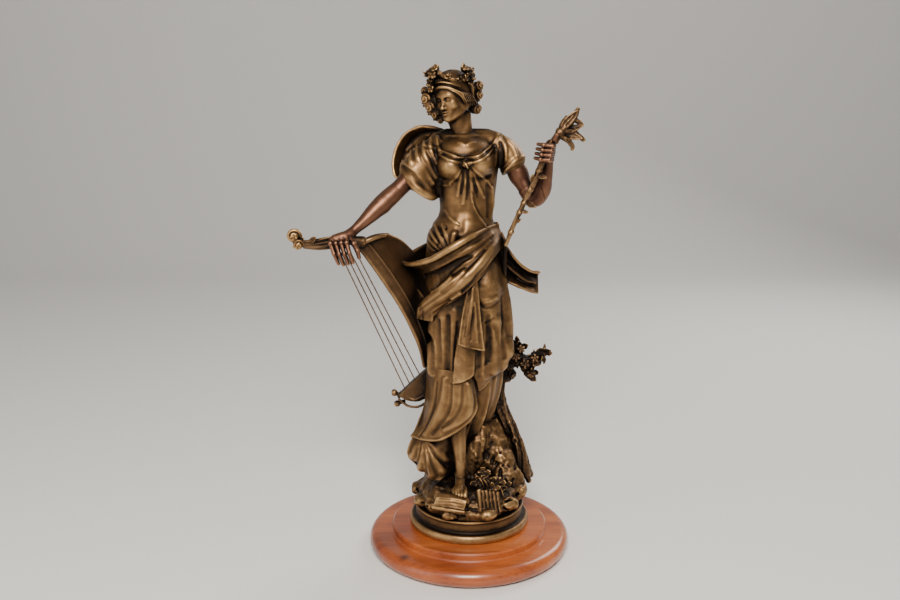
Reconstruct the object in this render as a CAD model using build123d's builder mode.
"""Cast figure of a woman with a harp and a leafy branch. She stands on a rock over a round moulded
plinth, and one tie rod holds the plinth to a turned wooden socle.

Millimetres. The origin is the centre of the felt's underside, +Z is up, the figure faces -Y, and +X
is to the right of someone looking at her front. Right and left in names are the figure's own.
Castings meet at seats, pegs and sockets with a small clearance, and cross pins lock the pegs.
"""

from build123d import *
from math import cos, pi, sin
import os

os.makedirs("parts", exist_ok=True)

# ---------------------------------------------------------------- driving dimensions
GAP = 0.15  # clearance between castings that seat on each other
FELT_THICK = 1.5
SOCLE_R = 109.0
SOCLE_STEP_R = 84.0
SOCLE_STEP_Z = 20.0  # top of the lower disc
SOCLE_TOP = 28.5  # top of the upper disc
RECESS_R = 17.0  # pocket for the nut, under the socle
RECESS_TOP = 14.0
PLINTH_Z = SOCLE_TOP + 0.05  # the bronze turns on the wood, so it rides just clear of it
PLINTH_R = 65.0
PLINTH_BAND_R = 58.0
PLINTH_TOP = 52.0
PLINTH_WALL = 4.0
BOSS_R = 12.0
ROD_R = 4.0
ROD_CLEARANCE = 0.1  # the rod turns in the wood with the figure
ROD_END = 3.5
ROD_LENGTH = 66.0
PIN_R = 1.1
STRING_R = 0.6
PIN_LENGTH = 9.0
SKIRT_WALL = 3.5
SKIRT_Z = 206.0  # where the upper skirt stands on the lower drapery
WAIST_Z = 358.0
CLOTH = 4.2  # thickness of the folds that lie over the skirt

# Levels of the rock: (height, centre x, centre y, radius)
TERRACE = [(PLINTH_TOP, 0, 0, 55.5), (60, 0, 0, 59), (70, 0, 1, 56), (79.8, 0, 2, 45)]
MOUND = [(79.8, 29, 16, 27), (98, 29, 17, 24), (120, 26, 18, 19), (142, 22, 20, 11)]

# Level sections of the drapery and the body: (height, centre x, centre y, half width, half depth)
TRAIN = [
    (80, -11, 17, 24, 19),
    (120, -9, 17, 23, 19),
    (150, -4, 14, 29, 22),
    (180, -2, 9, 34, 27),
    (205.8, -3, 4, 37, 29),
]
FLOUNCE = [
    (131, -40, -12, 18, 13),
    (152, -30, -17, 25, 16),
    (178, -22, -19, 24, 17),
    (205.8, -21, -15, 20, 16),
]
HEM_FLAP = [
    (84, -38, -16, 10, 8),
    (100, -44, -13, 17, 9),
    (118, -46, -10, 18, 9),
    (130.8, -43, -9, 17, 9),
]
SKIRT = [
    (SKIRT_Z, -4, 0, 40, 33),
    (232, -2, -1, 43, 35),
    (262, -3, -2, 43, 35),
    (300, -6, -1, 42, 33),
    (334, -8, 0, 37, 29),
    (WAIST_Z, -6, 0, 31, 24),
]
BODICE = [
    (WAIST_Z, -6, 0, 30.6, 23.6),
    (374, -4, -2, 27.5, 20.5),
    (396, -4, -4, 30, 21.5),
    (419, -6, -7, 34.5, 25),
    (436, -6, -2, 36, 18.5),
    (448, -7, 0, 21, 12.5),
]

# Stations along a limb: (centre, radius)
NECK = [((-7, 1, 440), 10.5), ((-9, -1, 451), 10.0), ((-13, -4, 462), 9.6), ((-17, -6, 472), 10.5)]
RIGHT_SLEEVE = [((-30, -1, 438), 11), ((-44, -7, 426), 14), ((-58, -13, 410), 15.5)]
LEFT_SLEEVE = [((22, 0, 439), 10), ((33, -1, 433), 13), ((43, -4, 417), 13.5)]
RIGHT_UPPER_ARM = [
    ((-46, -7, 427), 9.2),
    ((-58, -13, 411), 9.6),
    ((-69, -18, 399), 8.8),
    ((-80, -23, 389), 8.6),
]
RIGHT_FOREARM = [
    ((-80, -23, 389), 9.0),
    ((-93, -30, 378), 8.8),
    ((-106, -37, 366), 6.4),
    ((-114, -41, 358), 5.0),
    ((-122, -44, 351), 6.0),
]
LEFT_UPPER_ARM = [
    ((34, -1, 433), 9.2),
    ((45, -4, 415), 9.6),
    ((54, -7, 399), 8.8),
    ((62, -11, 387), 8.4),
]
LEFT_FOREARM = [
    ((62, -11, 387), 8.8),
    ((70, -17, 393), 8.4),
    ((73, -24, 406), 6.8),
    ((74, -31, 419), 5.2),
    ((73, -35, 429), 6.0),
]
RIGHT_LEG = [
    ((-14, -23, 172), 8.2),
    ((-13.5, -26, 150), 7.4),
    ((-11, -30, 122), 5.9),
    ((-9.5, -31, 100), 5.2),
    ((-9, -31, 86), 5.6),
]
TRUNK = [
    ((59, 16, 74), 10.0),
    ((54, 17, 104), 8.0),
    ((45, 20, 128), 7.0),
    ((34, 24, 152), 7.6),
    ((30, 27, 176), 9.0),
    ((33, 28, 197), 8.5),
]
HARP_NECK = [
    ((-172, -42, 344), 2.6),
    ((-158, -44, 343), 3.0),
    ((-142, -46, 347), 3.6),
    ((-124, -45, 349), 4.2),
    ((-110, -40, 346), 5.2),
]
HARP_BODY = [
    ((-107, -39, 344), 7.5),
    ((-94, -31, 322), 10.0),
    ((-80, -20, 286), 9.0),
    ((-66, -6, 246), 7.5),
    ((-51, 7, 204), 6.0),
]
BRANCH = [
    ((35, -30, 341), 2.2),
    ((45, -33, 367), 2.4),
    ((60, -37, 402), 2.6),
    ((72, -41, 431), 3.0),
    ((85, -39, 451), 3.0),
]
SHOULDER_SCARF = [
    ((-24, 12, 446), 5),
    ((-42, 18, 452), 7),
    ((-62, 24, 447), 8),
    ((-74, 22, 430), 8),
    ((-77, 17, 413), 6),
]
HIP_SCARF = [((30, 12, 338), 7), ((42, 10, 320), 9), ((54, 8, 304), 10), ((67, 6, 296), 8)]
SCROLL = [((-36, -46, 71), 4.5), ((-22, -50, 72), 4.8), ((-8, -51, 72), 4.5)]

# Cross pins: (centre, direction); each one crosses a peg and the socket round it
PINS = [
    ((-76.2, -21.2, 392.5), (0, 1, 0)),
    ((59.6, -9.8, 390.6), (0, 1, 0)),
    ((-8, 0, 443.5), (0, 1, 0)),
    ((-13.7, -24.5, 163), (0, 1, 0)),
]


# ---------------------------------------------------------------- shapes used again and again
def station_plane(stations, i, shift):
    """Plane across a limb at station i, moved along it by shift; its x direction stays level."""
    ahead = Vector(stations[min(i + 1, len(stations) - 1)][0])
    behind = Vector(stations[max(i - 1, 0)][0])
    way = (ahead - behind).normalized()
    level = Vector(0, 1, 0) if abs(way.Y) < 0.8 else Vector(1, 0, 0)
    return Plane(Vector(stations[i][0]) + way * shift, level - way * level.dot(way), way)


def limb(stations, grow=0.0, trim=0.0):
    """Round loft through the stations. grow thickens it all over; trim shortens its first end."""
    last = len(stations) - 1
    with BuildPart() as shape:
        for i, (_, radius) in enumerate(stations):
            shift = trim - grow if i == 0 else grow if i == last else 0.0
            with BuildSketch(station_plane(stations, i, shift)):
                Circle(radius + grow)
        loft()
    return shape.part


def peg(stations, radius, length, grow=0.0):
    """Round peg standing back into a limb from 2 mm past its last station."""
    with BuildPart() as shape:
        with BuildSketch(station_plane(stations, len(stations) - 1, 2.0)):
            Circle(radius + grow)
        extrude(amount=-length - 2.0 - grow)
    return shape.part


def stack(sections, grow=0.0):
    """Loft through level ellipses. grow widens it sideways only."""
    with BuildPart() as shape:
        for z, x, y, half_width, half_depth in sections:
            with BuildSketch(Plane((x, y, z))):
                Ellipse(half_width + grow, half_depth + grow)
        loft()
    return shape.part


def crag(levels, corners, ripple, phase, grow=0.0):
    """Faceted rock: level polygons whose corners move in and out by a share of the radius."""
    with BuildPart() as shape:
        for z, x, y, radius in levels:
            points = []
            for k in range(corners):
                turn = 2 * pi * k / corners
                wave = sin(3 * turn + phase + z / 9) + 0.5 * cos(5 * turn - phase)
                reach = (radius + grow) * (1 + ripple * wave)
                points.append((x + reach * cos(turn), y + reach * sin(turn)))
            with BuildSketch(Plane.XY.offset(z)):
                with BuildLine():
                    Polyline(*points, close=True)
                make_face()
        loft(ruled=True)
    return shape.part


def egg(centre, half_sizes):
    """Ellipsoid."""
    with BuildPart() as unit:
        Sphere(1)
        scale(by=half_sizes)
    with BuildPart() as shape:
        with Locations(centre):
            add(unit.part)
    return shape.part


def ball(centre, radius):
    """Plain sphere."""
    with BuildPart() as shape:
        with Locations(centre):
            Sphere(radius)
    return shape.part


def disc(z, radius, height, bore=0.0):
    """Level disc from z upwards, with an optional hole."""
    with BuildPart() as shape:
        with BuildSketch(Plane.XY.offset(z)):
            Circle(radius)
            if bore:
                Circle(bore, mode=Mode.SUBTRACT)
        extrude(amount=height)
    return shape.part


def pin(centre, way, grow=0.0):
    """Cross pin, or with grow the hole for it."""
    with BuildPart() as shape:
        with BuildSketch(Plane(origin=centre, z_dir=way)):
            Circle(PIN_R + grow)
        extrude(amount=PIN_LENGTH / 2 + grow, both=True)
    return shape.part


def build(whole, *cuts):
    """Joins the shapes in whole, takes the cuts away and leaves out crumbs of metal."""
    with BuildPart() as shape:
        for piece in whole:
            add(piece)
        for tool in cuts:
            add(tool, mode=Mode.SUBTRACT)
    solids = shape.part.solids().sort_by(SortBy.VOLUME)
    return solids[-1]


def save(shape, label):
    shape.label = label
    export_step(shape, f"parts/{label}.step")


def rock_tools(grow=GAP):
    """The rock's two outer shapes, grown for taking out of what rests on it."""
    return [crag(TERRACE, 13, 0.035, 0.4, grow), crag(MOUND, 9, 0.06, 1.3, grow)]


pin_holes = [pin(centre, way, 0.03) for centre, way in PINS]

# ---------------------------------------------------------------- wooden socle and its fixings
EDGE = (SOCLE_STEP_Z - FELT_THICK) / 2
with BuildPart() as wood_socle:
    with BuildSketch(Plane.XZ):
        with BuildLine():
            Polyline((0, SOCLE_TOP), (0, FELT_THICK), (SOCLE_R - EDGE, FELT_THICK))
            ThreePointArc(
                (SOCLE_R - EDGE, FELT_THICK),
                (SOCLE_R, FELT_THICK + EDGE),
                (SOCLE_R - EDGE, SOCLE_STEP_Z),
            )
            Polyline(
                (SOCLE_R - EDGE, SOCLE_STEP_Z),
                (SOCLE_STEP_R + 1.5, SOCLE_STEP_Z),
                (SOCLE_STEP_R, SOCLE_STEP_Z + 1.5),
                (SOCLE_STEP_R, SOCLE_TOP - 1.5),
                (SOCLE_STEP_R - 1.5, SOCLE_TOP),
                (0, SOCLE_TOP),
            )
        make_face()
    revolve(axis=Axis.Z)
    add(disc(FELT_THICK, RECESS_R, RECESS_TOP - FELT_THICK), mode=Mode.SUBTRACT)
    add(disc(FELT_THICK, ROD_R + ROD_CLEARANCE, SOCLE_TOP), mode=Mode.SUBTRACT)
save(wood_socle.part, "wood_socle")

with BuildPart() as felt_pad:
    with BuildSketch():
        Circle(SOCLE_R - EDGE - 1)
    extrude(amount=FELT_THICK)
save(felt_pad.part, "felt_pad")

WASHER_Z = RECESS_TOP - 0.05 - 2.0
NUT_Z = WASHER_Z - 6.5
save(disc(WASHER_Z, 12.0, 2.0, ROD_R + 0.2), "tie_washer")

with BuildPart() as tie_nut:
    with BuildSketch(Plane.XY.offset(NUT_Z)):
        RegularPolygon(6.5, 6, major_radius=False)
        Circle(ROD_R + 0.02, mode=Mode.SUBTRACT)
    extrude(amount=6.5)
save(tie_nut.part, "tie_nut")

with BuildPart() as tie_rod:
    with BuildSketch(Plane.XY.offset(ROD_END)):
        Circle(ROD_R)
    extrude(amount=ROD_LENGTH)
    chamfer(tie_rod.edges().filter_by(GeomType.CIRCLE), 0.8)
save(tie_rod.part, "tie_rod")

# ---------------------------------------------------------------- plinth and rock
with BuildPart() as plinth:
    with BuildSketch(Plane.XZ):
        with BuildLine():
            Line((PLINTH_R - PLINTH_WALL - 1, PLINTH_Z), (PLINTH_R - 2, PLINTH_Z))
            ThreePointArc(
                (PLINTH_R - 2, PLINTH_Z), (PLINTH_R, PLINTH_Z + 4.5), (PLINTH_R - 2, PLINTH_Z + 9)
            )
            Polyline(
                (PLINTH_R - 2, PLINTH_Z + 9),
                (PLINTH_BAND_R + 0.5, PLINTH_Z + 10),
                (PLINTH_BAND_R, PLINTH_Z + 12),
                (PLINTH_BAND_R, PLINTH_TOP - 3),
            )
            ThreePointArc(
                (PLINTH_BAND_R, PLINTH_TOP - 3),
                (PLINTH_BAND_R + 1.2, PLINTH_TOP - 1.5),
                (PLINTH_BAND_R, PLINTH_TOP),
            )
            Polyline(
                (PLINTH_BAND_R, PLINTH_TOP),
                (0, PLINTH_TOP),
                (0, PLINTH_TOP - 14),
                (BOSS_R, PLINTH_TOP - 14),
                (BOSS_R, PLINTH_TOP - PLINTH_WALL),
                (PLINTH_BAND_R - PLINTH_WALL, PLINTH_TOP - PLINTH_WALL),
                (PLINTH_BAND_R - PLINTH_WALL, PLINTH_Z + 9),
                (PLINTH_R - PLINTH_WALL - 1, PLINTH_Z),
            )
        make_face()
    revolve(axis=Axis.Z)
    add(disc(PLINTH_Z, ROD_R + 0.05, 40), mode=Mode.SUBTRACT)
save(plinth.part, "plinth")

ROCK_CAVITY = [(PLINTH_TOP, 0, 0, 48), (62, 0, 0, 50), (74, 0, 1, 41)]
rock = build(rock_tools(0.0), crag(ROCK_CAVITY, 13, 0.035, 0.4))
rod_hole = disc(PLINTH_TOP, ROD_R + 0.05, ROD_END + ROD_LENGTH + 1 - PLINTH_TOP)
save(build([rock, disc(PLINTH_TOP, BOSS_R, 24)], rod_hole), "rock")

# ---------------------------------------------------------------- lower figure and its drapery
def foot(grow=0.0):
    """Right foot, from the heel to the toes."""
    with BuildPart() as shape:
        for origin, half_width, half_height in (
            ((-9, -26, 85.5), 5.2, 5.2),
            ((-9.5, -36, 84.5), 6.4, 5.0),
            ((-11, -47, 81.8), 8.0, 3.2),
            ((-11.5, -54, 80.6), 7.6, 2.0),
        ):
            with BuildSketch(Plane(origin, (1, 0, 0), (0, -1, 0))):
                Ellipse(half_width + grow, half_height + grow)
        loft()
    return shape.part


train_solid = stack(TRAIN, GAP)
save(build([stack(TRAIN)], stack(TRAIN, -SKIRT_WALL), rock_tools()[1]), "skirt_train")
save(
    build([stack(FLOUNCE)], train_solid, limb(RIGHT_LEG, GAP), pin_holes[3]),
    "skirt_flounce",
)
save(build([stack(HEM_FLAP)], train_solid, *rock_tools()), "hem_flap")
save(build([limb(RIGHT_LEG), foot()], pin_holes[3], *rock_tools()), "right_leg")

skirt_cavity = [(z, x, y, a - SKIRT_WALL, b - SKIRT_WALL) for z, x, y, a, b in SKIRT[:-1]]
skirt_cavity.append((WAIST_Z, -6, 0, 24, 17))
save(build([stack(SKIRT)], stack(skirt_cavity)), "skirt")


def fold(outline, inner, outer, rear=False):
    """Cloth lying over the skirt: the layer between two growths of it, inside an XZ outline."""
    with BuildPart() as shape:
        with BuildSketch(Plane.XZ):
            with BuildLine():
                Polyline(*outline, close=True)
            make_face()
        extrude(amount=80, both=rear)
        add(stack(SKIRT, outer), mode=Mode.INTERSECT)
        add(stack(SKIRT, inner), mode=Mode.SUBTRACT)
    return shape.part.solids().sort_by(SortBy.VOLUME)[-1]


SASH_OUTLINE = [
    (-90, 338),
    (-60, 330),
    (-14, 342),
    (50, 357.8),
    (50, 336),
    (-18, 298),
    (-60, 262),
    (-90, 262),
]
save(fold(SASH_OUTLINE, GAP, CLOTH, rear=True), "hip_sash")
save(fold([(-14, 294), (6, 304), (13, 239), (-12, 243)], GAP, CLOTH - 1), "front_panel")

# ---------------------------------------------------------------- upper figure
BODICE_CAVITY = [
    (WAIST_Z, -6, 0, 24, 17),
    (374, -4, -2, 21, 14.5),
    (396, -4, -4, 22, 14),
    (419, -6, -6, 25, 16),
]
bodice = build(
    [stack(BODICE), limb(RIGHT_SLEEVE), limb(LEFT_SLEEVE)],
    stack(BODICE_CAVITY),
    limb(RIGHT_UPPER_ARM, GAP),
    limb(LEFT_UPPER_ARM, GAP),
    limb(NECK, GAP),
    pin_holes[2],
)
save(bodice, "bodice")

with BuildPart() as waist_collar:
    with BuildSketch(Plane((-5.5, -0.5, WAIST_Z - 8))):
        Ellipse(21.5, 14.2)
        Ellipse(17.5, 10.2, mode=Mode.SUBTRACT)
    extrude(amount=14)
save(waist_collar.part, "waist_collar")

HAIR_CENTRE = (-17, -3, 490)
HAIR_R = 24.2
head_parts = [
    limb(NECK),
    egg((-20, -12, 484), (16.5, 19, 21)),
    ball(HAIR_CENTRE, HAIR_R),
    egg((-42, -4, 480), (7, 8, 10)),
    egg((2, 6, 474), (7, 9, 9)),
    egg((6, 7, 493), (6.5, 8, 8)),
]
head = build(head_parts, pin_holes[2])
save(head, "head")

CROWN_STEPS = 13
with BuildPart() as flower_crown:
    for k in range(CROWN_STEPS):
        turn = pi * (0.58 + 0.145 * k)
        centre = (-19 + 19 * cos(turn), -6 + 18 * sin(turn), 509.5 + 4 * sin(2 * turn + 1))
        way = Vector(-19 * sin(turn), 18 * cos(turn), 8 * cos(2 * turn + 1)).normalized()
        with BuildSketch(Plane(centre, Vector(0, 0, 1) - way * way.Z, way)):
            Circle(5.2 + 0.5 * (k % 2))
    loft()
    add(ball(HAIR_CENTRE, HAIR_R + GAP), mode=Mode.SUBTRACT)
save(flower_crown.part.solids().sort_by(SortBy.VOLUME)[-1], "flower_crown")


# ---------------------------------------------------------------- arms and hands
def fingers(root, step, reach, radius, count):
    """Fingers side by side, each tapering from its knuckle to its tip."""
    rods = []
    for k in range(count):
        start = Vector(root) + Vector(step) * k
        middle = start + Vector(reach) * 0.5
        tip = start + Vector(reach)
        rods.append(limb([(start, radius), (middle, radius), (tip, 0.7 * radius)]))
    return rods


RIGHT_PALM = [((-137, -47, 348), 6.8), ((-129, -46.5, 349.5), 8.2), ((-121, -45, 350), 7.4)]
right_hand = [
    limb(RIGHT_PALM),
    *fingers((-135, -51, 346), (4.6, 0.2, -0.6), (6, 0, -21), 2.5, 4),
]
LEFT_PALM = [((69, -39, 427), 6.8), ((73, -40, 434), 8.4), ((77, -40, 441), 7.0)]
left_hand = [
    limb(LEFT_PALM),
    *fingers((64, -46, 427), (1.6, 0, 4.7), (13, 1, 1), 2.5, 4),
]
for side, upper, lower, hand, held, hole in (
    ("right", RIGHT_UPPER_ARM, RIGHT_FOREARM, right_hand, HARP_NECK, pin_holes[0]),
    ("left", LEFT_UPPER_ARM, LEFT_FOREARM, left_hand, BRANCH, pin_holes[1]),
):
    save(build([limb(upper)], peg(upper, 4.0, 8.0, GAP), hole), f"{side}_upper_arm")
    forearm = build([limb(lower)], limb(upper, GAP))
    pegged = build([forearm, peg(upper, 4.0, 8.0)], hole)
    save(build([pegged, *hand], limb(held, GAP)), f"{side}_forearm")

# ---------------------------------------------------------------- harp and branch
save(build([limb(HARP_NECK)]), "harp_neck")
finial_parts = [egg((-176 + 3.5 * k, -42, 354 - 6.5 * k), (5.4, 4.6, 5.0)) for k in range(3)]
save(build(finial_parts, limb(HARP_NECK, GAP)), "harp_finial")

with BuildPart() as harp_foot_block:
    with BuildSketch(Plane((-58, 8, 184), (0.72, 0, 0.69), (0, -1, 0))):
        with BuildLine():
            Line((-22, 3), (22, 3))
            ThreePointArc((22, 3), (0, -20), (-22, 3))
        make_face()
    extrude(amount=6, both=True)
save(
    build(
        [harp_foot_block.part, egg((-79, 8, 171), (5, 5, 5)), egg((-76, 8, 160), (5, 5, 5))],
        limb(HARP_BODY, GAP),
        stack(SKIRT, GAP),
        train_solid,
    ),
    "harp_foot",
)
save(build([limb(HARP_BODY)], limb(HARP_NECK, GAP), stack(SKIRT, GAP)), "harp_soundbox")

strings = []
for k, clear_of_hand in enumerate((9.0, 9.0, 6.5, 6.5)):
    top = Vector(-132.5 + 5.2 * k, -45.5 + 1.3 * k, 347.5 - 0.5 * k)
    end = Vector(-69.5 + 5 * k, 8, 173 + 4.8 * k)
    way = (end - top).normalized()
    with BuildPart() as string:
        with BuildSketch(Plane(origin=top + way * clear_of_hand, z_dir=way)):
            Circle(STRING_R)
        extrude(amount=(end - top).length - clear_of_hand - 4.3)
    strings.append(string.part.solids()[0])
save(Compound(children=strings), "harp_strings")

save(build([limb(BRANCH)]), "branch_stem")
HUB = Vector(86, -39, 453)
leaf_parts = [egg(HUB, (4.6, 4.6, 4.6))]
LEAVES = [
    ((13, 0, 19), 3.4),
    ((22, 2, 5), 3.4),
    ((21, -3, -6), 3.2),
    ((13, 4, -14), 2.8),
    ((-9, 3, 14), 2.6),
]
for reach, width in LEAVES:
    middle = HUB + Vector(reach) * 0.45
    leaf_parts.append(limb([(HUB, 2.2), (middle, width), (HUB + Vector(reach), 0.9)]))
save(build(leaf_parts, limb(BRANCH, GAP)), "branch_leaves")

# ---------------------------------------------------------------- loose drapery
save(
    build([limb(SHOULDER_SCARF)], stack(BODICE, GAP), limb(RIGHT_SLEEVE, GAP), limb(RIGHT_UPPER_ARM, GAP)),
    "shoulder_scarf",
)
save(build([limb(HIP_SCARF)], stack(SKIRT, CLOTH + GAP)), "hip_scarf")

# ---------------------------------------------------------------- tree, and what lies on the rock
save(build([limb(TRUNK)], stack(TRAIN, GAP), stack(SKIRT, GAP), *rock_tools()), "tree_trunk")
foliage_parts = [
    egg(centre, (radius, radius, radius))
    for centre, radius in (
        ((45, 21, 205), 9.5),
        ((52, 17, 208), 10.0),
        ((62, 15, 203), 10.5),
        ((71, 14, 208), 9.5),
        ((79, 14, 215), 6.5),
        ((53, 17, 220), 8.0),
        ((66, 15, 192), 8.0),
    )
]
save(build(foliage_parts, limb(TRUNK, GAP), stack(SKIRT, GAP)), "tree_foliage")
save(build([limb(SCROLL)], foot(GAP), *rock_tools()), "music_scroll")

pipes = []
for k in range(5):
    mouth = Vector(8 + 5 * k, -47 + 1.6 * k, 84 - k)
    end = mouth + Vector(4, -10, -20)
    pipes.append(limb([(mouth, 2.7), ((mouth + end) * 0.5, 2.7), (end, 2.7)]))
save(build(pipes, *rock_tools()), "pan_pipes")
roses = [
    egg(centre, (6.5, 6.5, 6.5))
    for centre in ((9, -34, 85.5), (18.5, -32, 86), (13, -28, 93.5), (27.5, -30, 85.5))
]
save(build(roses, *rock_tools()), "rose_spray")
save(Compound(children=[pin(centre, way).solids()[0] for centre, way in PINS]), "cross_pins")
